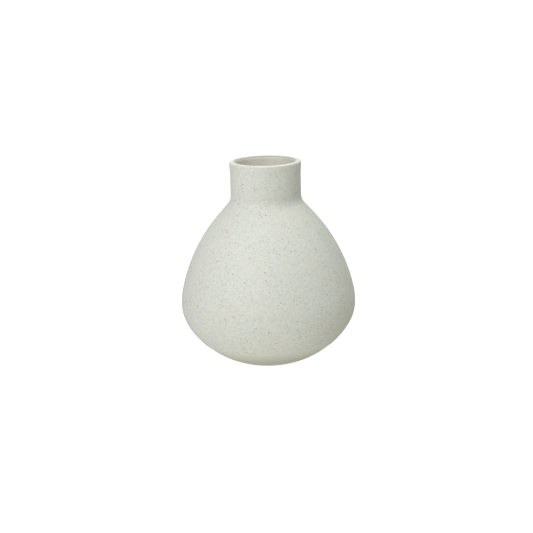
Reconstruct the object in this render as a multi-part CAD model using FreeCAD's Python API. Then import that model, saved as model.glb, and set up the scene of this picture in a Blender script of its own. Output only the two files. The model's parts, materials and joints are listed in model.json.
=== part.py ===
import FreeCAD, Part
import os
from math import asin, cos, degrees, radians, sin

# A squat, pear-shaped bud vase of stoneware: a low foot ring, a round bowl, a long convex shoulder
# and a short straight neck, thrown as four sections that are luted rim to rim, then dipped in
# glaze inside and out. Everything is turned about the Z axis.
# Millimetres, +Z up, origin at the centre of the ring the vase stands on.

# Overall sizes, measured over the glaze.
height = 149.4
neck_radius = 25.75
mouth_radius = 21.5
belly_radius = 64.5
belly_height = 45.0

# Thickness of the two coats of glaze. The clay fills what is left of the wall.
glaze_thickness = 0.3
wall_thickness = neck_radius - mouth_radius

# The lip is a little fatter than the wall, so the neck flares to meet it. Its crown is wiped flat
# and its two edges are rounded.
lip_thickness = 4.7
lip_edge_radius = 1.1
lip_flare = 3.0

# Round stretches of the wall, over the glaze, from the neck down. Each turns smoothly into the
# next. A tilt is how far the wall's outward side looks above the horizontal, in degrees.
neck_fillet_radius = 10.0
shoulder_tilt = 41.5
shoulder_radius = 122.0
upper_belly_tilt = 12.0
upper_belly_radius = 45.0
lower_belly_radius = 31.5
lower_belly_tilt = -32.5
lower_wall_radius = 62.0

# The glaze stops where the lower wall looks this far down. The clay below it is turned and bare.
glaze_line_tilt = -46.0
underside_radius = 66.0
floor_height = 8.0
straight_down = -90.0

# The foot ring, luted under the flat floor, with its two standing edges rounded.
foot_height = 2.5
foot_outer_radius = 20.5
foot_inner_radius = 15.0
foot_edge_radius = 0.8

# The seam at the belly is bevelled: it drops by this much of the lower belly's bend, in degrees,
# from the outside of the clay to the inside, so that the upper rim sits in the lower one.
seam_bevel = 4.0

# How deep each face of the clay lies under the finished outside.
clay_outside = glaze_thickness
clay_inside = wall_thickness - glaze_thickness

crown = 90.0
into_mouth = 180.0


def outward(tilt):
    """The direction that a wall at this tilt looks in."""
    return FreeCAD.Vector(cos(radians(tilt)), 0, sin(radians(tilt)))


def uphill(tilt):
    """The direction up along a wall at this tilt."""
    return FreeCAD.Vector(-sin(radians(tilt)), 0, cos(radians(tilt)))


def at(radius, level):
    """A point of the outline, at this radius and level."""
    return FreeCAD.Vector(radius, 0, level)


class Bend:
    """A round stretch of wall. A negative radius has its centre outside the vase."""

    def __init__(self, centre, radius):
        self.centre = centre
        self.radius = radius

    def point(self, tilt, depth=0.0):
        """The point at this tilt, this deep under the stretch's own face."""
        return self.centre + outward(tilt) * (self.radius - depth)

    def edge(self, tilt, last_tilt, depth=0.0):
        """The arc between two tilts, this deep under the stretch's own face."""
        middle = self.point((tilt + last_tilt) / 2, depth)
        return Part.Arc(self.point(tilt, depth), middle, self.point(last_tilt, depth)).toShape()


def bend_from(start, tilt, radius):
    """A stretch that leaves a point with the wall at this tilt."""
    return Bend(start - outward(tilt) * radius, radius)


def line(start, end):
    """A straight edge."""
    return Part.LineSegment(start, end).toShape()


def turned(outline):
    """The solid that a closed outline makes when it is turned about the vase's axis."""
    face = Part.Face(Part.Wire(outline))
    return face.revolve(FreeCAD.Vector(0, 0, 0), FreeCAD.Vector(0, 0, 1), 360)


# The finished outside, from the widest ring up to the lip.
widest = at(belly_radius, belly_height)
upper_belly = bend_from(widest, 0, upper_belly_radius)
shoulder = bend_from(upper_belly.point(upper_belly_tilt), upper_belly_tilt, shoulder_radius)
shoulder_top = shoulder.point(shoulder_tilt)
fillet_drop = neck_fillet_radius * (1 - cos(radians(shoulder_tilt)))
cone_length = (shoulder_top.x - fillet_drop - neck_radius) / sin(radians(shoulder_tilt))
cone_top = shoulder_top + uphill(shoulder_tilt) * cone_length
neck_fillet = bend_from(cone_top, shoulder_tilt, -neck_fillet_radius)
lip_radius = mouth_radius + lip_thickness
outer_lip = Bend(at(lip_radius - lip_edge_radius, height - lip_edge_radius), lip_edge_radius)
inner_lip = Bend(at(mouth_radius + lip_edge_radius, height - lip_edge_radius), lip_edge_radius)

# And from the widest ring down to the flat floor.
lower_belly = bend_from(widest, 0, lower_belly_radius)
lower_wall = bend_from(lower_belly.point(lower_belly_tilt), lower_belly_tilt, lower_wall_radius)
underside = bend_from(lower_wall.point(glaze_line_tilt, clay_outside), glaze_line_tilt, underside_radius)
underside_last_tilt = degrees(asin((foot_height - underside.centre.z) / underside_radius))

# Inside, the lower wall runs into the flat floor through one more bend, given here by its clay face.
floor_start = lower_wall.point(glaze_line_tilt, clay_inside)
floor_radius = (floor_start.z - floor_height) / (1 + sin(radians(glaze_line_tilt)))
floor_bend = bend_from(floor_start, glaze_line_tilt, floor_radius)


def neck_outside(depth):
    """Inner edge of the crown, over the lip, down the flare and the neck, to the foot of the fillet."""
    flare_top = outer_lip.point(-lip_flare, depth)
    flare_length = (flare_top.x - neck_radius + depth) / sin(radians(lip_flare))
    flare_foot = flare_top - uphill(-lip_flare) * flare_length
    return [
        line(inner_lip.point(crown, depth), outer_lip.point(crown, depth)),
        outer_lip.edge(crown, -lip_flare, depth),
        line(flare_top, flare_foot),
        line(flare_foot, neck_fillet.point(0, depth)),
        neck_fillet.edge(0, shoulder_tilt, depth),
    ]


def neck_inside(depth):
    """Inner edge of the crown, down the mouth, to the foot of the fillet, this deep under the outside."""
    under_glaze = wall_thickness - depth
    return [
        inner_lip.edge(crown, into_mouth, under_glaze),
        line(inner_lip.point(into_mouth, under_glaze), neck_fillet.point(0, depth)),
        neck_fillet.edge(0, shoulder_tilt, depth),
    ]


def shoulder_face(depth):
    """Foot of the fillet, down the straight cone and the shoulder, to the widest ring."""
    return [
        line(neck_fillet.point(shoulder_tilt, depth), shoulder.point(shoulder_tilt, depth)),
        shoulder.edge(shoulder_tilt, upper_belly_tilt, depth),
        upper_belly.edge(upper_belly_tilt, 0, depth),
    ]


def bowl_face(depth, first_tilt=0.0):
    """Widest ring, or a little below it, down to the level of the glaze line."""
    return [
        lower_belly.edge(first_tilt, lower_belly_tilt, depth),
        lower_wall.edge(lower_belly_tilt, glaze_line_tilt, depth),
    ]


def floor_face(rise):
    """Level of the glaze line, round onto the flat floor and in to the axis."""
    flat = floor_bend.point(straight_down, rise)
    return [
        floor_bend.edge(glaze_line_tilt, straight_down, rise),
        line(flat, at(0, flat.z)),
    ]


def foot_ring():
    """A turned ring of bare clay that the vase stands on."""
    outer_edge = Bend(at(foot_outer_radius - foot_edge_radius, foot_edge_radius), foot_edge_radius)
    inner_edge = Bend(at(foot_inner_radius + foot_edge_radius, foot_edge_radius), foot_edge_radius)
    outer_top = at(foot_outer_radius, foot_height)
    inner_top = at(foot_inner_radius, foot_height)
    return turned([
        line(outer_top, outer_edge.point(0)),
        outer_edge.edge(0, straight_down),
        line(outer_edge.point(straight_down), inner_edge.point(straight_down)),
        inner_edge.edge(straight_down, -into_mouth),
        line(inner_edge.point(-into_mouth), inner_top),
        line(inner_top, outer_top),
    ])


def neck_seat():
    """The joint between shoulder and neck, square to the wall at the foot of the fillet."""
    inner = neck_fillet.point(shoulder_tilt, clay_inside)
    outer = neck_fillet.point(shoulder_tilt, clay_outside)
    return line(inner, outer)


def lower_bowl():
    """Flat floor and lower wall, up to the bevelled seam at the belly."""
    underside_middle = at(0, foot_height)
    outside = bowl_face(clay_outside) + [
        underside.edge(glaze_line_tilt, underside_last_tilt),
        line(underside.point(underside_last_tilt), underside_middle),
    ]
    inside = bowl_face(clay_inside, -seam_bevel) + floor_face(0)
    axis = line(underside_middle, at(0, floor_height))
    seam = line(lower_belly.point(-seam_bevel, clay_inside), lower_belly.point(0, clay_outside))
    return turned(outside + [axis] + inside[::-1] + [seam])


def shoulder_dome():
    """The upper wall, from the bevelled seam at the belly to the seat of the neck."""
    outside = shoulder_face(clay_outside)
    bevelled_rim = lower_belly.edge(0, -seam_bevel, clay_inside)
    inside = shoulder_face(clay_inside) + [bevelled_rim]
    seam = line(upper_belly.point(0, clay_outside), lower_belly.point(-seam_bevel, clay_inside))
    return turned(outside + [seam] + inside[::-1] + [neck_seat()])


def neck_collar():
    """Neck and lip in one, flared at the bottom to sit on the shoulder."""
    return turned(neck_outside(clay_outside) + [neck_seat()] + neck_inside(clay_inside)[::-1])


def outer_glaze():
    """The speckled coat, from the inner edge of the crown to the glaze line."""
    coat = neck_outside(0) + shoulder_face(0) + bowl_face(0)
    clay = neck_outside(clay_outside) + shoulder_face(clay_outside) + bowl_face(clay_outside)
    bottom = line(lower_wall.point(glaze_line_tilt), lower_wall.point(glaze_line_tilt, clay_outside))
    top = line(inner_lip.point(crown, glaze_thickness), inner_lip.point(crown))
    return turned(coat + [bottom] + clay[::-1] + [top])


def inner_glaze():
    """The liner coat, from the inner edge of the crown down over the whole inside."""
    coat = neck_inside(wall_thickness) + shoulder_face(wall_thickness) + bowl_face(wall_thickness)
    coat += floor_face(glaze_thickness)
    clay = neck_inside(clay_inside) + shoulder_face(clay_inside) + bowl_face(clay_inside)
    clay += floor_face(0)
    middle = line(at(0, floor_height + glaze_thickness), at(0, floor_height))
    top = line(inner_lip.point(crown, glaze_thickness), inner_lip.point(crown))
    return turned(coat + [middle] + clay[::-1] + [top])


pieces = {
    "foot_ring": foot_ring,
    "lower_bowl": lower_bowl,
    "shoulder_dome": shoulder_dome,
    "neck_collar": neck_collar,
    "outer_glaze": outer_glaze,
    "inner_glaze": inner_glaze,
}

os.makedirs("parts", exist_ok=True)
for name, make in pieces.items():
    shape = make()
    shape.exportStep(f"parts/{name}.step")
    print(name, "volume", round(shape.Volume), "mm3, closed", shape.isValid() and shape.isClosed())
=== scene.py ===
import json
from math import asin, atan2, ceil, cos, degrees, hypot, pi, radians, sin

import bmesh
import bpy
from mathutils import Matrix, Vector, noise


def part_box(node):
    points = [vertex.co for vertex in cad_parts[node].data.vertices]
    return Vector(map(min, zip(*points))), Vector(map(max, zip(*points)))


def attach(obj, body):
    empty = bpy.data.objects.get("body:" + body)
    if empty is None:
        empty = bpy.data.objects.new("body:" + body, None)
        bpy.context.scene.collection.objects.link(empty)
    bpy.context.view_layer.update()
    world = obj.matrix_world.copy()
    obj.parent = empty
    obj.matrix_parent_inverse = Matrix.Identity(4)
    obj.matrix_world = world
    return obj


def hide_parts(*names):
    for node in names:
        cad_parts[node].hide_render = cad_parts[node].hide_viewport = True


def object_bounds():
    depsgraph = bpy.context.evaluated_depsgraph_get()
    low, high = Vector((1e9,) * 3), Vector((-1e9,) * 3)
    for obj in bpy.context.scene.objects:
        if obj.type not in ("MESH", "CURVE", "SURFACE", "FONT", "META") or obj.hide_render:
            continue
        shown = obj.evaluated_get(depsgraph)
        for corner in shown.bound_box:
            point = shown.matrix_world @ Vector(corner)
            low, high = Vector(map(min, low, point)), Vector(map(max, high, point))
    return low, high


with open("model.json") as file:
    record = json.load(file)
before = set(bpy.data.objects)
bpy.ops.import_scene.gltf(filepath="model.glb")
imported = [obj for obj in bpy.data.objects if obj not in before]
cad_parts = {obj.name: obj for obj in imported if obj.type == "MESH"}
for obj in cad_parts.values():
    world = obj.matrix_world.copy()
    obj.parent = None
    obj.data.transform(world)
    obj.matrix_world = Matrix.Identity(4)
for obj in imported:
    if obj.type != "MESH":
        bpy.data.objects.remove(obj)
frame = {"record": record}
cad_low, cad_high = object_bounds()

# ---------------------------------------------------------------------------------------------
# Foot ring. A coil of the body clay is luted under the floor of the bowl and trimmed with a steel
# tool while the pot turns upside down, so it is bare, true and finely ringed, and its two
# standing edges are wiped round with a wet sponge.

mm = 0.001
foot_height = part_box("foot_ring")[1].z
foot_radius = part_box("foot_ring")[1].x
foot_width = 5.5 * mm
foot_edge_radius = 0.8 * mm
foot_grain = 0.25 * mm
segments_around = 216
coarsest_bend = 15
same_point = mm / 1000


def linear(colour):
    """A #rrggbb colour as linear red, green, blue and alpha."""
    values = [int(colour[i:i + 2], 16) / 255 for i in (1, 3, 5)]
    return [v / 12.92 if v <= 0.04045 else ((v + 0.055) / 1.055) ** 2.4 for v in values] + [1]


def add(tree, kind, settings=(), values=(), links=()):
    """One node, with its settings, the values of its sockets and what is wired into them."""
    made = tree.nodes.new("ShaderNode" + kind)
    for name, value in dict(settings).items():
        setattr(made, name, value)
    for socket, value in dict(values).items():
        made.inputs[socket].default_value = value
    for socket, source in dict(links).items():
        tree.links.new(source, made.inputs[socket])
    return made


# Where a Mix node takes its two colours and the share of the second one, and gives the result.
mix_share = 0
mix_from = 6
mix_to = 7
mixed = 2


def new_material(name):
    """An empty node material and its tree."""
    made = bpy.data.materials.new(name)
    made.use_nodes = True
    made.node_tree.nodes.clear()
    return made, made.node_tree


class Template:
    """Half a section of the pot, drawn as straight runs and round bends, like a cut template."""

    def __init__(self, radius, level, heading):
        self.mesh = bmesh.new()
        self.first = self.last = self.mesh.verts.new((radius, 0, level))
        self.heading = heading

    def draw(self, stretches, grain):
        """Adds stretches of (size, turn): a run of that length, a bend of that radius or a corner."""
        for size, turn in stretches:
            ahead = Vector((cos(radians(self.heading)), 0, sin(radians(self.heading))))
            left = Vector((-ahead.z, 0, ahead.x))
            length = size * radians(abs(turn)) if turn else size
            steps = max(1, ceil(abs(turn) / coarsest_bend), ceil(length / grain))
            path = dict(geom=[self.last], axis=(0, -1, 0), steps=steps, use_duplicate=False)
            if size and turn:
                centre = self.last.co + left * (size if turn > 0 else -size)
                path.update(cent=centre, angle=radians(turn))
            elif size:
                path.update(cent=self.last.co, angle=0, dvec=ahead * size / steps)
            if size:
                self.last = bmesh.ops.spin(self.mesh, **path)["geom_last"][0]
            self.heading += turn
        return self

    def close(self):
        """Joins the last point to the first."""
        self.mesh.edges.new((self.last, self.first))
        return self


# A hand-thrown pot is never quite true. Its wall wanders by a tenth or two of a millimetre, a
# rib leaves faint rings 5 mm apart on it, and the rim dips a little. The same drift is given to
# the clay and to both coats of glaze, so they stay on each other, and it only ever takes away.
sway_depth = 0.16 * mm
sway_length = 42 * mm
rib_depth = 0.05 * mm
rib_spacing = 5 * mm
rib_fade = 3
rim_dip = 0.15 * mm
rim_share = 0.12
rim_lumps = 1.3


def loss(place):
    """A smooth drift from place to place, between -1 and 0."""
    return noise.noise(place) / 2 - 0.5


def by_hand(place):
    """Where a true point of the pot lies once it has been thrown by hand."""
    radius = hypot(place.x, place.y)
    if radius < mm:
        return place
    outward = Vector((place.x, place.y, 0)) / radius
    sway = loss(place / sway_length)
    rib = loss(Vector((outward.x / rib_fade, outward.y / rib_fade, place.z / rib_spacing)))
    near_rim = max(0, place.z / cad_high.z - 1 + rim_share) / rim_share
    dip = loss(outward * rim_lumps) * near_rim ** 2
    return place + outward * (sway * sway_depth + rib * rib_depth) + Vector((0, 0, dip * rim_dip))


def throw(template, name, node, material):
    """Turns a template about the pot's axis, gives it its drift and stands it in the frame."""
    pot = template.mesh
    bmesh.ops.spin(pot, geom=pot.verts[:] + pot.edges[:], cent=(0, 0, 0), axis=(0, 0, 1),
                   angle=2 * pi, steps=segments_around, use_merge=True)
    bmesh.ops.remove_doubles(pot, verts=pot.verts[:], dist=same_point)
    bmesh.ops.recalc_face_normals(pot, faces=pot.faces[:])
    for vertex in pot.verts:
        vertex.co = by_hand(vertex.co)
    for face in pot.faces:
        face.smooth = True
    data = bpy.data.meshes.new(name)
    pot.to_mesh(data)
    pot.free()
    data.materials.append(material)
    piece = bpy.data.objects.new(name, data)
    bpy.context.scene.collection.objects.link(piece)
    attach(piece, "root")
    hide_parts(node)


# Bare fired stoneware, trimmed with a steel tool and sponged: a pale warm grey with fine buff
# grog in it. Towards the foot it is painted darker in soft clouds, as painted shade where the
# table closes in under the vase. The tool leaves hair-fine rings, and the surface is quite dull.
# Grog and sand are drawn about twice as coarse as the real grains, which are too fine to show.
clay_colour = linear("#cfd0c4")
foot_shade_colour = linear("#bab9a9")
grog_colour = linear("#a79f8b")
clay_cloud_size = 14 * mm
clay_cloud_share = 0.4
foot_shade_share = 1.2
shade_free_share = -0.4
darkest_shade_level = 4 * mm
shade_free_level = 20 * mm
grog_spacing = 1.1 * mm
grog_core = 0.12
grog_rim = 0.3
grog_strength = 0.35
tool_ring_spacing = 0.9 * mm
tool_ring_depth = 0.05 * mm
sand_size = 0.5 * mm
sand_depth = 0.03 * mm
clay_smoothest = 0.72
clay_roughest = 0.88
silicate_index = 1.5


def turned_stoneware():
    """Bare stoneware, turned and sponged."""
    material, tree = new_material("turned_bare_stoneware")
    place = add(tree, "TexCoord").outputs["Object"]
    apart = add(tree, "SeparateXYZ", links={0: place})

    clouds = add(tree, "TexNoise", values={"Scale": 1 / clay_cloud_size, "Detail": 3},
                 links={"Vector": place})
    # Painted shade: the clay is darkened towards the foot, in soft clouds.
    near_foot = add(tree, "MapRange", {"interpolation_type": "SMOOTHSTEP"},
                    {"From Min": darkest_shade_level, "From Max": shade_free_level,
                     "To Min": foot_shade_share, "To Max": shade_free_share},
                    {"Value": apart.outputs["Z"]})
    foot_shade = add(tree, "Math", {"operation": "MULTIPLY_ADD", "use_clamp": True}, {1: clay_cloud_share},
               {0: clouds.outputs["Fac"], 2: near_foot.outputs[0]})
    tone = add(tree, "Mix", {"data_type": "RGBA"}, {mix_from: clay_colour, mix_to: foot_shade_colour},
               {mix_share: foot_shade.outputs[0]})
    grains = add(tree, "TexVoronoi", values={"Scale": 1 / grog_spacing}, links={"Vector": place})
    grog = add(tree, "MapRange", {"interpolation_type": "SMOOTHSTEP"},
               {"From Min": grog_core, "From Max": grog_rim, "To Min": grog_strength, "To Max": 0},
               {"Value": grains.outputs["Distance"]})
    colour = add(tree, "Mix", {"data_type": "RGBA"}, {mix_to: grog_colour},
                 {mix_share: grog.outputs[0], mix_from: tone.outputs[mixed]})

    flat = add(tree, "CombineXYZ", links={"X": apart.outputs["X"], "Y": apart.outputs["Y"]})
    reach = add(tree, "VectorMath", {"operation": "LENGTH"}, links={0: flat.outputs[0]})
    spread = add(tree, "CombineXYZ", links={"X": reach.outputs["Value"]})
    rings = add(tree, "TexNoise", values={"Scale": 1 / tool_ring_spacing, "Detail": 2},
                links={"Vector": spread.outputs[0]})
    sand = add(tree, "TexNoise", values={"Scale": 1 / sand_size, "Detail": 2}, links={"Vector": place})
    ringed = add(tree, "Bump", values={"Strength": 0.7, "Distance": tool_ring_depth},
                 links={"Height": rings.outputs["Fac"]})
    relief = add(tree, "Bump", values={"Strength": 0.5, "Distance": sand_depth},
                 links={"Height": sand.outputs["Fac"], "Normal": ringed.outputs[0]})
    rough = add(tree, "MapRange", values={"To Min": clay_smoothest, "To Max": clay_roughest},
                links={"Value": sand.outputs["Fac"]})

    surface = add(tree, "BsdfPrincipled", values={"IOR": silicate_index}, links={
        "Base Color": colour.outputs[mixed], "Roughness": rough.outputs[0], "Normal": relief.outputs[0]})
    add(tree, "OutputMaterial", links={"Surface": surface.outputs[0]})
    return material


bare_stoneware = turned_stoneware()
foot_side = (foot_height - foot_edge_radius, 0)
foot_edge = (foot_edge_radius, -90)
standing_face = (foot_width - 2 * foot_edge_radius, 0)

foot = Template(foot_radius - foot_width, foot_height, 0)
foot.draw([(foot_width, 0), (0, -90), foot_side, foot_edge], foot_grain)
foot.draw([standing_face, foot_edge, foot_side], foot_grain)
throw(foot, "turned_foot_ring", "foot_ring", bare_stoneware)

# ---------------------------------------------------------------------------------------------
# Lower bowl. Thrown first, with its flat floor, and cut with a bevelled rim for the shoulder to
# sit in. Below the glaze line its underside is trimmed round and left bare, above it the wall is
# hidden between the two coats of glaze.

belly_radius = cad_high.x
belly_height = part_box("lower_bowl")[1].z
mouth_radius = frame["record"]["mounts"][1]["dims"]["r_mm"] * mm
neck_radius = 25.75 * mm
wall = neck_radius - mouth_radius
glaze = 0.3 * mm
clay_outside = glaze
clay_inside = wall - glaze

lower_belly_radius = 31.5 * mm
lower_belly_turn = 32.5
lower_wall_radius = 62 * mm
glaze_line_tilt = 46.0
lower_wall_turn = glaze_line_tilt - lower_belly_turn
underside_radius = 66 * mm
floor_height = 8 * mm
seam_turn = 4.0
hidden_grain = 3 * mm
shown_grain = 1.0 * mm


def backwards(stretches):
    """The same stretches, drawn from their far end."""
    return [(size, -turn) for size, turn in reversed(stretches)]


def bowl_wall(depth):
    """From the widest ring down to the level of the glaze line, this deep under the finished wall."""
    return [(lower_belly_radius - depth, -lower_belly_turn), (lower_wall_radius - depth, -lower_wall_turn)]


def glaze_line_point(depth):
    """Where the wall reaches the level of the glaze line."""
    wall_line = Template(belly_radius - depth, belly_height, -90).draw(bowl_wall(depth), hidden_grain)
    point = wall_line.last.co.copy()
    wall_line.mesh.free()
    return point


glaze_line_slope = Vector((-cos(radians(glaze_line_tilt)), 0, sin(radians(glaze_line_tilt))))
clay_line = glaze_line_point(clay_outside)
underside_centre = clay_line + glaze_line_slope * underside_radius
underside_tilt = degrees(asin((underside_centre.z - foot_height) / underside_radius))
underside_start = underside_centre.x + underside_radius * cos(radians(underside_tilt))
underside = (underside_radius, underside_tilt - glaze_line_tilt)

inside_line = glaze_line_point(clay_inside)
floor_turn = 90 - glaze_line_tilt
floor_radius = (inside_line.z - floor_height) / (1 - sin(radians(glaze_line_tilt)))
floor_flat = inside_line.x - floor_radius * cos(radians(glaze_line_tilt))

inner_belly_radius = lower_belly_radius - clay_inside
seam_drop = inner_belly_radius * sin(radians(seam_turn))
seam_inner_radius = belly_radius - lower_belly_radius + inner_belly_radius * cos(radians(seam_turn))
seam_width = belly_radius - clay_outside - seam_inner_radius
seam_slope = degrees(atan2(seam_drop, seam_width))
seam = [(0, 90 + seam_slope), (hypot(seam_drop, seam_width), 0), (0, 90 - seam_slope - seam_turn)]
bowl_inside = [(inner_belly_radius, seam_turn - lower_belly_turn),
               (lower_wall_radius - clay_inside, -lower_wall_turn),
               (floor_radius, -floor_turn), (floor_flat, 0)]

bowl = Template(0, foot_height, 0)
bowl.draw([(underside_start, 0), (0, 90 - underside_tilt), underside], shown_grain)
bowl.draw(backwards(bowl_wall(clay_outside)) + seam + bowl_inside, hidden_grain)
throw(bowl, "thrown_lower_bowl", "lower_bowl", bare_stoneware)

# ---------------------------------------------------------------------------------------------
# Shoulder dome. The upper wall, thrown upside down as a second bowl with no floor. Its rim is
# scored, slipped and set into the bevel of the lower bowl, and its top is cut square to the wall
# as a seat for the neck. It is covered by glaze on both sides.

upper_belly_radius = 45 * mm
upper_belly_turn = 12.0
shoulder_radius = 122 * mm
shoulder_tilt = 41.5
shoulder_turn = shoulder_tilt - upper_belly_turn
neck_fillet_radius = 10 * mm

shoulder_top_radius = (belly_radius - upper_belly_radius
                       + (upper_belly_radius - shoulder_radius) * cos(radians(upper_belly_turn))
                       + shoulder_radius * cos(radians(shoulder_tilt)))
fillet_drop = neck_fillet_radius * (1 - cos(radians(shoulder_tilt)))
cone_length = (shoulder_top_radius - fillet_drop - neck_radius) / sin(radians(shoulder_tilt))


def dome_wall(depth):
    """From the seat of the neck down to the widest ring, this deep under the finished wall."""
    return [(cone_length, 0), (shoulder_radius - depth, -shoulder_turn),
            (upper_belly_radius - depth, -upper_belly_turn)]


dome = Template(belly_radius - clay_outside, belly_height, 90)
dome.draw(backwards(dome_wall(clay_outside)), hidden_grain)
dome.draw([(0, 90), (clay_inside - clay_outside, 0), (0, 90)], hidden_grain)
dome.draw(dome_wall(clay_inside) + [(inner_belly_radius, -seam_turn)], hidden_grain)
throw(dome.close(), "thrown_shoulder_dome", "shoulder_dome", bare_stoneware)

# ---------------------------------------------------------------------------------------------
# Neck collar. A short straight collar thrown on its own. Its lip is compressed until it is a
# little fatter than the wall, its crown is wiped flat and its two edges are rounded. Its flared
# base is luted to the shoulder and smoothed.

lip_thickness = 4.7 * mm
lip_edge_radius = 1.1 * mm
lip_flare = 3.0
crown_radius = mouth_radius + lip_edge_radius
crown_width = lip_thickness - 2 * lip_edge_radius
lip_level = cad_high.z - lip_edge_radius
seat_level = (belly_height + sin(radians(upper_belly_turn)) * (upper_belly_radius - shoulder_radius)
              + sin(radians(shoulder_tilt)) * shoulder_radius)
fillet_level = (seat_level + cone_length * cos(radians(shoulder_tilt))
                + neck_fillet_radius * sin(radians(shoulder_tilt)))


def neck_outside(depth):
    """From the inner edge of the crown, over the lip and down the outside to the seat."""
    edge = lip_edge_radius - depth
    side = crown_radius + crown_width + edge * cos(radians(lip_flare))
    flare = (side - neck_radius + depth) / sin(radians(lip_flare))
    flare_drop = edge * sin(radians(lip_flare)) + flare * cos(radians(lip_flare))
    return [(crown_width, 0), (edge, -90 - lip_flare), (flare, 0), (0, lip_flare),
            (lip_level - flare_drop - fillet_level, 0), (neck_fillet_radius + depth, shoulder_tilt)]


def neck_inside(depth):
    """From the inner edge of the crown down the mouth to the seat."""
    under_glaze = wall - depth
    return [(lip_edge_radius - under_glaze, 90), (lip_level - fillet_level, 0),
            (neck_fillet_radius + depth, shoulder_tilt)]


collar_grain = hidden_grain / 2
collar = Template(crown_radius, cad_high.z - glaze, 0)
collar.draw(neck_outside(clay_outside), collar_grain)
collar.draw([(0, -90), (clay_inside - clay_outside, 0), (0, -90)], collar_grain)
collar.draw(backwards(neck_inside(clay_inside)), collar_grain)
bmesh.ops.remove_doubles(collar.mesh, verts=collar.mesh.verts[:], dist=same_point)
throw(collar, "thrown_neck_collar", "neck_collar", bare_stoneware)

# ---------------------------------------------------------------------------------------------
# Outer glaze. The vase is held by the foot and dipped neck first, so the coat runs from the
# crown of the lip to a line near the bottom, where it ends in a soft rolled edge.

coat = Template(crown_radius, cad_high.z, 0)
coat.draw(neck_outside(0) + dome_wall(0) + bowl_wall(0), shown_grain)
rolled_edge = (glaze / 2, -180)
coat.draw([rolled_edge], glaze / 4)
coat.draw(backwards(neck_outside(glaze) + dome_wall(glaze) + bowl_wall(glaze)), 2 * hidden_grain)
coat.close()

# Satin off-white stoneware glaze, dipped. Its tin curdles into flecks of lighter and darker white,
# it pools a little warmer and cooler, and it thins to the colour of the clay at its lower edge. The
# crown of the lip is painted whiter, as a painted highlight where the light catches it. Iron specks
# bleed up from the clay, in drifts that crowd towards the foot. They melt flat, with a slight
# dimple, and the skin is like fine orange peel, which breaks its sheen. Curds and peel are drawn
# coarser than real to show at all.
# A speck's size is taken over its soft rim, so the dark of it is a third smaller.
glaze_cool = linear("#d2d6cc")
glaze_warm = linear("#d4d5ca")
crown_highlight_colour = linear("#ebebe3")
speck_dark = linear("#857c66")
speck_light = linear("#b3ac98")
small_speck = 1.0 * mm
small_speck_spacing = 1.3 * mm
small_speck_share = 0.8
small_speck_strength = 0.75
middle_speck = 1.4 * mm
middle_speck_spacing = 2.2 * mm
middle_speck_share = 0.75
large_speck = 1.8 * mm
large_speck_spacing = 5.0 * mm
large_speck_share = 0.6
strong_speck_strength = 0.85
smallest_share = 0.45
core_share = 0.35
speck_ragged = 0.4 * mm
speck_ragged_size = 0.7 * mm
rust_size = 2.3 * mm
drift_size = 11 * mm
drift_sparsest = 0.3
crowded_level = 35 * mm
sparse_level = 95 * mm
crowded_share = 1.15
sparse_share = 0.8
noise_low = 0.35
noise_high = 0.65
pool_size = 17 * mm
curd_size = 1.8 * mm
curd_darkest = 0.93
curd_lightest = 1.10
curd_depth = 0.02 * mm
peel_size = 3.5 * mm
peel_depth = 0.05 * mm
dimple_depth = 0.04 * mm
line_waver = 2 * mm
thin_below = clay_line.z - 1.6 * mm
full_above = clay_line.z + 1.4 * mm
thin_share = 0.85
crown_start = lip_level + 0.2 * mm
crown_full = lip_level + lip_edge_radius
crown_highlight_share = 0.55
glaze_smoothest = 0.5
glaze_roughest = 0.64


def specks(tree, place, crowd, spacing, size, share, strength):
    """Round specks of up to this size, on this share of a lattice where they crowd most."""
    cells = add(tree, "TexVoronoi", values={"Scale": 1 / spacing, "Randomness": 1}, links={"Vector": place})
    chance = add(tree, "SeparateColor", links={0: cells.outputs["Color"]})
    reach = size / 2 / spacing
    radius = add(tree, "MapRange", values={"To Min": reach * smallest_share, "To Max": reach},
                 links={"Value": chance.outputs["Red"]})
    core = add(tree, "Math", {"operation": "MULTIPLY"}, {1: core_share}, {0: radius.outputs[0]})
    spot = add(tree, "MapRange", {"interpolation_type": "SMOOTHSTEP"}, {"To Min": strength, "To Max": 0}, {
        "Value": cells.outputs["Distance"], "From Min": core.outputs[0], "From Max": radius.outputs[0]})
    limit = add(tree, "Math", {"operation": "MULTIPLY"}, {1: share}, {0: crowd})
    kept = add(tree, "Math", {"operation": "LESS_THAN"},
               links={0: chance.outputs["Green"], 1: limit.outputs[0]})
    shown = add(tree, "Math", {"operation": "MULTIPLY"}, links={0: spot.outputs[0], 1: kept.outputs[0]})
    return shown.outputs[0]


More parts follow.
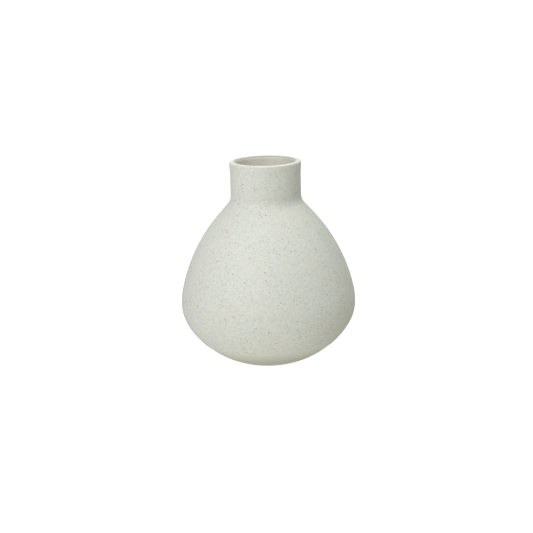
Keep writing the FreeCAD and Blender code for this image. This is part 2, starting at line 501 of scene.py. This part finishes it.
def speckled_satin_glaze():
    """Satin off-white stoneware glaze, dipped, with iron specks."""
    material, tree = new_material("speckled_satin_glaze")
    place = add(tree, "TexCoord").outputs["Object"]
    apart = add(tree, "SeparateXYZ", links={0: place})

    wander = add(tree, "TexNoise", values={"Scale": 1 / speck_ragged_size, "Detail": 1},
                 links={"Vector": place})
    ragged = add(tree, "VectorMath", {"operation": "MULTIPLY_ADD"}, {1: (speck_ragged,) * 3},
                 {0: wander.outputs["Color"], 2: place}).outputs[0]
    low = add(tree, "MapRange", values={"From Min": crowded_level, "From Max": sparse_level,
                                        "To Min": crowded_share, "To Max": sparse_share},
              links={"Value": apart.outputs["Z"]})
    drifts = add(tree, "TexNoise", values={"Scale": 1 / drift_size, "Detail": 1}, links={"Vector": place})
    drift = add(tree, "MapRange", values={"From Min": noise_low, "From Max": noise_high,
                                          "To Min": drift_sparsest, "To Max": 1},
                links={"Value": drifts.outputs["Fac"]})
    crowd = add(tree, "Math", {"operation": "MULTIPLY"},
                links={0: low.outputs[0], 1: drift.outputs[0]}).outputs[0]
    small = specks(tree, ragged, crowd, small_speck_spacing, small_speck,
                   small_speck_share, small_speck_strength)
    middle = specks(tree, ragged, crowd, middle_speck_spacing, middle_speck,
                    middle_speck_share, strong_speck_strength)
    large = specks(tree, ragged, crowd, large_speck_spacing, large_speck,
                   large_speck_share, strong_speck_strength)
    darker = add(tree, "Math", {"operation": "MAXIMUM"}, links={0: small, 1: middle})
    darkest = add(tree, "Math", {"operation": "MAXIMUM"}, links={0: darker.outputs[0], 1: large})
    rust = add(tree, "TexNoise", values={"Scale": 1 / rust_size, "Detail": 0}, links={"Vector": place})
    iron = add(tree, "Mix", {"data_type": "RGBA"}, {mix_from: speck_dark, mix_to: speck_light},
               {mix_share: rust.outputs["Fac"]})

    pools = add(tree, "TexNoise", values={"Scale": 1 / pool_size, "Detail": 2}, links={"Vector": place})
    warmth = add(tree, "MapRange", values={"From Min": noise_low, "From Max": noise_high},
                 links={"Value": pools.outputs["Fac"]})
    ground = add(tree, "Mix", {"data_type": "RGBA"}, {mix_from: glaze_cool, mix_to: glaze_warm},
                 {mix_share: warmth.outputs[0]})
    curdle = add(tree, "TexNoise", values={"Scale": 1 / curd_size, "Detail": 3, "Roughness": 0.7},
                 links={"Vector": place})
    curds = add(tree, "MapRange", values={"From Min": 0.3, "From Max": 0.7,
                                          "To Min": curd_darkest, "To Max": curd_lightest},
                links={"Value": curdle.outputs["Fac"]})
    curdled = add(tree, "VectorMath", {"operation": "SCALE"},
                  links={0: ground.outputs[mixed], "Scale": curds.outputs[0]})
    waver = add(tree, "Math", {"operation": "MULTIPLY_ADD"}, {1: -line_waver},
                {0: pools.outputs["Fac"], 2: apart.outputs["Z"]})
    thin = add(tree, "MapRange", {"interpolation_type": "SMOOTHSTEP"},
               {"From Min": thin_below, "From Max": full_above, "To Min": thin_share, "To Max": 0},
               {"Value": waver.outputs[0]})
    thinned = add(tree, "Mix", {"data_type": "RGBA"}, {mix_to: clay_colour},
                  {mix_share: thin.outputs[0], mix_from: curdled.outputs[0]})
    # Painted highlight: the crown of the lip is painted whiter.
    crown_highlight = add(tree, "MapRange", {"interpolation_type": "SMOOTHSTEP"},
                {"From Min": crown_start, "From Max": crown_full, "To Min": 0, "To Max": crown_highlight_share},
                {"Value": apart.outputs["Z"]})
    highlighted = add(tree, "Mix", {"data_type": "RGBA"}, {mix_to: crown_highlight_colour},
                    {mix_share: crown_highlight.outputs[0], mix_from: thinned.outputs[mixed]})
    colour = add(tree, "Mix", {"data_type": "RGBA"}, links={
        mix_share: darkest.outputs[0], mix_from: highlighted.outputs[mixed], mix_to: iron.outputs[mixed]})

    peel = add(tree, "TexNoise", values={"Scale": 1 / peel_size, "Detail": 2}, links={"Vector": place})
    peeled = add(tree, "Bump", values={"Strength": 1, "Distance": peel_depth},
                 links={"Height": peel.outputs["Fac"]})
    flecked = add(tree, "Bump", values={"Strength": 0.5, "Distance": curd_depth},
                  links={"Height": curdle.outputs["Fac"], "Normal": peeled.outputs[0]})
    relief = add(tree, "Bump", {"invert": True}, {"Strength": 0.6, "Distance": dimple_depth},
                 links={"Height": darkest.outputs[0], "Normal": flecked.outputs[0]})
    rough = add(tree, "MapRange", values={"To Min": glaze_smoothest, "To Max": glaze_roughest},
                links={"Value": peel.outputs["Fac"]})

    surface = add(tree, "BsdfPrincipled", values={"IOR": silicate_index}, links={
        "Base Color": colour.outputs[mixed], "Roughness": rough.outputs[0], "Normal": relief.outputs[0]})
    add(tree, "OutputMaterial", links={"Surface": surface.outputs[0]})
    return material


throw(coat, "speckled_outer_glaze", "outer_glaze", speckled_satin_glaze())

# ---------------------------------------------------------------------------------------------
# Inner glaze. A liner poured in and swilled round before the dipping, over the whole inside. At
# the inner edge of the crown it meets the outer coat, which laps over it.

liner_face = bowl_wall(wall) + [(floor_radius - glaze, -floor_turn), (floor_flat, 0)]
liner_back = bowl_wall(clay_inside) + [(floor_radius, -floor_turn), (floor_flat, 0)]
liner = Template(0, floor_height, 0)
liner.draw(backwards(neck_inside(clay_inside) + dome_wall(clay_inside) + liner_back), 2 * hidden_grain)
liner.draw([(0, -90), (glaze, 0), (0, -90)], glaze)
liner.draw(neck_inside(wall), shown_grain / 2)
liner.draw(dome_wall(wall) + liner_face, 2 * shown_grain)

# The same glaze, poured thinner: warmer and beige, because the clay shows through it, and painted
# lighter than the outer coat, as painted light inside the mouth. The thrower's finger rings are
# left inside; they are painted in darker bands as painted shade, over darker runs in the glaze.
# They are drawn 1.4 mm apart and a quarter of a millimetre deep, the finest that show in the mouth.
# Painted light: the liner is lighter than the outer coat, standing in for light inside the mouth.
lightened_liner_colour = linear("#e6e5d9")
liner_runs_and_ring_shade = linear("#d2d0bf")
lap_colour = linear("#d4d5cb")
lap_start = lip_level + 0.6 * mm
run_size = 9 * mm
finger_ring_spacing = 1.4 * mm
finger_ring_depth = 0.25 * mm
finger_ring_contrast = 3.2
liner_speck = 1.2 * mm
liner_speck_spacing = 1.8 * mm
liner_speck_strength = 0.6
liner_ragged = 0.45 * mm
liner_ragged_size = 0.9 * mm
liner_peel_size = 3 * mm
liner_smoothest = 0.42
liner_roughest = 0.55


def swilled_liner_glaze():
    """Thin beige liner glaze, poured and swilled."""
    material, tree = new_material("swilled_liner_glaze")
    place = add(tree, "TexCoord").outputs["Object"]
    apart = add(tree, "SeparateXYZ", links={0: place})

    runs = add(tree, "TexNoise", values={"Scale": 1 / run_size, "Detail": 3}, links={"Vector": place})
    level = add(tree, "CombineXYZ", links={"Z": apart.outputs["Z"]})
    fingers = add(tree, "TexNoise", values={"Scale": 1 / finger_ring_spacing, "Detail": 1},
                  links={"Vector": level.outputs[0]})
    # Painted shade: the finger rings are painted in darker bands, added to darker runs in the glaze.
    ring_shade = add(tree, "Math", {"operation": "MULTIPLY_ADD", "use_clamp": True},
                 {1: finger_ring_contrast, 2: -finger_ring_contrast / 2}, {0: fingers.outputs["Fac"]})
    runs_and_ring_shade = add(tree, "Math", {"operation": "ADD", "use_clamp": True},
                 links={0: ring_shade.outputs[0], 1: runs.outputs["Fac"]})
    tone = add(tree, "Mix", {"data_type": "RGBA"}, {mix_from: lightened_liner_colour, mix_to: liner_runs_and_ring_shade},
               {mix_share: runs_and_ring_shade.outputs[0]})
    lap = add(tree, "MapRange", {"interpolation_type": "SMOOTHSTEP"},
              {"From Min": lap_start, "From Max": crown_full}, {"Value": apart.outputs["Z"]})
    lapped = add(tree, "Mix", {"data_type": "RGBA"}, {mix_to: lap_colour},
                 {mix_share: lap.outputs[0], mix_from: tone.outputs[mixed]})
    wander = add(tree, "TexNoise", values={"Scale": 1 / liner_ragged_size, "Detail": 1},
                 links={"Vector": place})
    ragged = add(tree, "VectorMath", {"operation": "MULTIPLY_ADD"}, {1: (liner_ragged,) * 3},
                 {0: wander.outputs["Color"], 2: place})
    spots = specks(tree, ragged.outputs[0], runs.outputs["Fac"], liner_speck_spacing, liner_speck,
                   1, liner_speck_strength)
    colour = add(tree, "Mix", {"data_type": "RGBA"}, {mix_to: speck_dark},
                 {mix_share: spots, mix_from: lapped.outputs[mixed]})

    peel = add(tree, "TexNoise", values={"Scale": 1 / liner_peel_size, "Detail": 2},
               links={"Vector": place})
    peeled = add(tree, "Bump", values={"Strength": 1, "Distance": peel_depth},
                 links={"Height": peel.outputs["Fac"]})
    relief = add(tree, "Bump", values={"Strength": 1, "Distance": finger_ring_depth},
                 links={"Height": fingers.outputs["Fac"], "Normal": peeled.outputs[0]})
    rough = add(tree, "MapRange", values={"To Min": liner_smoothest, "To Max": liner_roughest},
                links={"Value": peel.outputs["Fac"]})

    surface = add(tree, "BsdfPrincipled", values={"IOR": silicate_index}, links={
        "Base Color": colour.outputs[mixed], "Roughness": rough.outputs[0], "Normal": relief.outputs[0]})
    add(tree, "OutputMaterial", links={"Surface": surface.outputs[0]})
    return material


throw(liner, "poured_inner_glaze", "inner_glaze", swilled_liner_glaze())

# ---------------------------------------------------------------------------------------------
# Table. A wide sheet of matt white paper with no edge in sight, lit evenly, so the vase stands on
# plain white. Its own light and shadow are left out of the picture of the vase.

table_size = 60
table = bpy.data.meshes.new("white_table")
sheet = bmesh.new()
bmesh.ops.create_grid(sheet, x_segments=1, y_segments=1, size=table_size / 2)
sheet.to_mesh(table)
sheet.free()
table_top = bpy.data.objects.new("white_table", table)
bpy.context.scene.collection.objects.link(table_top)
table_top.visible_diffuse = False
table_top.visible_glossy = False
table_top.visible_shadow = False

white, white_tree = new_material("lit_white_paper")
paper = add(white_tree, "BsdfPrincipled", values={
    "Base Color": linear("#b4b4b4"), "Roughness": 0.9, "Specular IOR Level": 0,
    "Emission Color": linear("#ffffff"), "Emission Strength": 0.85})
add(white_tree, "OutputMaterial", links={"Surface": paper.outputs[0]})
table.materials.append(white)

# ---------------------------------------------------------------------------------------------
# Studio. A pale room gives soft light from its ceiling, from a high wall to the right, from the
# backdrop, and from the white table on both sides, and one soft box stands for the window at the
# front left.

room = bpy.data.worlds.new("room_over_white_table")
room.use_nodes = True
room_tree = room.node_tree
room_tree.nodes.clear()
direction = add(room_tree, "TexCoord").outputs["Generated"]


def heading(azimuth, elevation):
    """A direction seen from the vase. Azimuth 0 is at the camera's side, and it grows to the right."""
    level = cos(radians(elevation))
    return Vector((sin(radians(azimuth)) * level, -cos(radians(azimuth)) * level, sin(radians(elevation))))


def glow(azimuth, elevation, strength, focus, colour):
    """Soft light from one side of the room, brightest in this direction, narrower with more focus."""
    towards = heading(azimuth, elevation)
    tint = [strength * channel for channel in linear(colour)[:3]]
    facing = add(room_tree, "VectorMath", {"operation": "DOT_PRODUCT"}, {1: towards}, {0: direction})
    lit = add(room_tree, "Math", {"operation": "MAXIMUM"}, {1: 0}, {0: facing.outputs["Value"]})
    beam = add(room_tree, "Math", {"operation": "POWER"}, {1: focus}, {0: lit.outputs[0]})
    glowing = add(room_tree, "VectorMath", {"operation": "SCALE"}, {0: tint}, {"Scale": beam.outputs[0]})
    return glowing.outputs[0]


ceiling = glow(0, 90, 0.54, 1, "#f4f5ff")
high_wall = glow(90, 60, 1.48, 4, "#fdfff7")
window_bounce = glow(-60, -45, 0.90, 1, "#fffefc")
table_bounce = glow(60, -60, 1.97, 10, "#fffdf1")
backdrop = glow(180, 10, 0.9, 4, "#ffffff")
everywhere = ceiling
for side in (high_wall, window_bounce, table_bounce, backdrop):
    both = add(room_tree, "VectorMath", {"operation": "ADD"}, links={0: everywhere, 1: side})
    everywhere = both.outputs[0]
around = add(room_tree, "Background", links={"Color": everywhere})
add(room_tree, "OutputWorld", links={"Surface": around.outputs[0]})
bpy.context.scene.world = room

window_distance = 1.2
window_towards = heading(-30, 30)
vase_middle = Vector((0, 0, cad_high.z / 2))
window_light = bpy.data.lights.new("window_box", "AREA")
window_light.shape = "SQUARE"
window_light.size = 0.6
window_light.energy = 6.75
window_light.color = linear("#fffdff")[:3]
window_box = bpy.data.objects.new("window_box", window_light)
window_box.matrix_world = (Matrix.Translation(vase_middle + window_towards * window_distance)
                           @ window_towards.to_track_quat("Z", "Y").to_matrix().to_4x4())
bpy.context.scene.collection.objects.link(window_box)

# ---------------------------------------------------------------------------------------------
# Camera. It stands a little under a metre away, looks down on the vase and leans by a degree and
# a half.

camera_distance = 0.855
camera_height = 0.2895
camera_side = -0.85 * mm
camera_pitch = 14.37
camera_roll = -1.45
camera_data = bpy.data.cameras.new("camera")
camera_data.sensor_width = 36
camera_data.lens = 80.8
camera = bpy.data.objects.new("camera", camera_data)
camera.matrix_world = (Matrix.Translation((camera_side, -camera_distance, camera_height))
                       @ Matrix.Rotation(radians(90 - camera_pitch), 4, "X")
                       @ Matrix.Rotation(radians(camera_roll), 4, "Z"))
bpy.context.scene.collection.objects.link(camera)
bpy.context.scene.camera = camera
bpy.context.scene.view_settings.view_transform = "Standard"
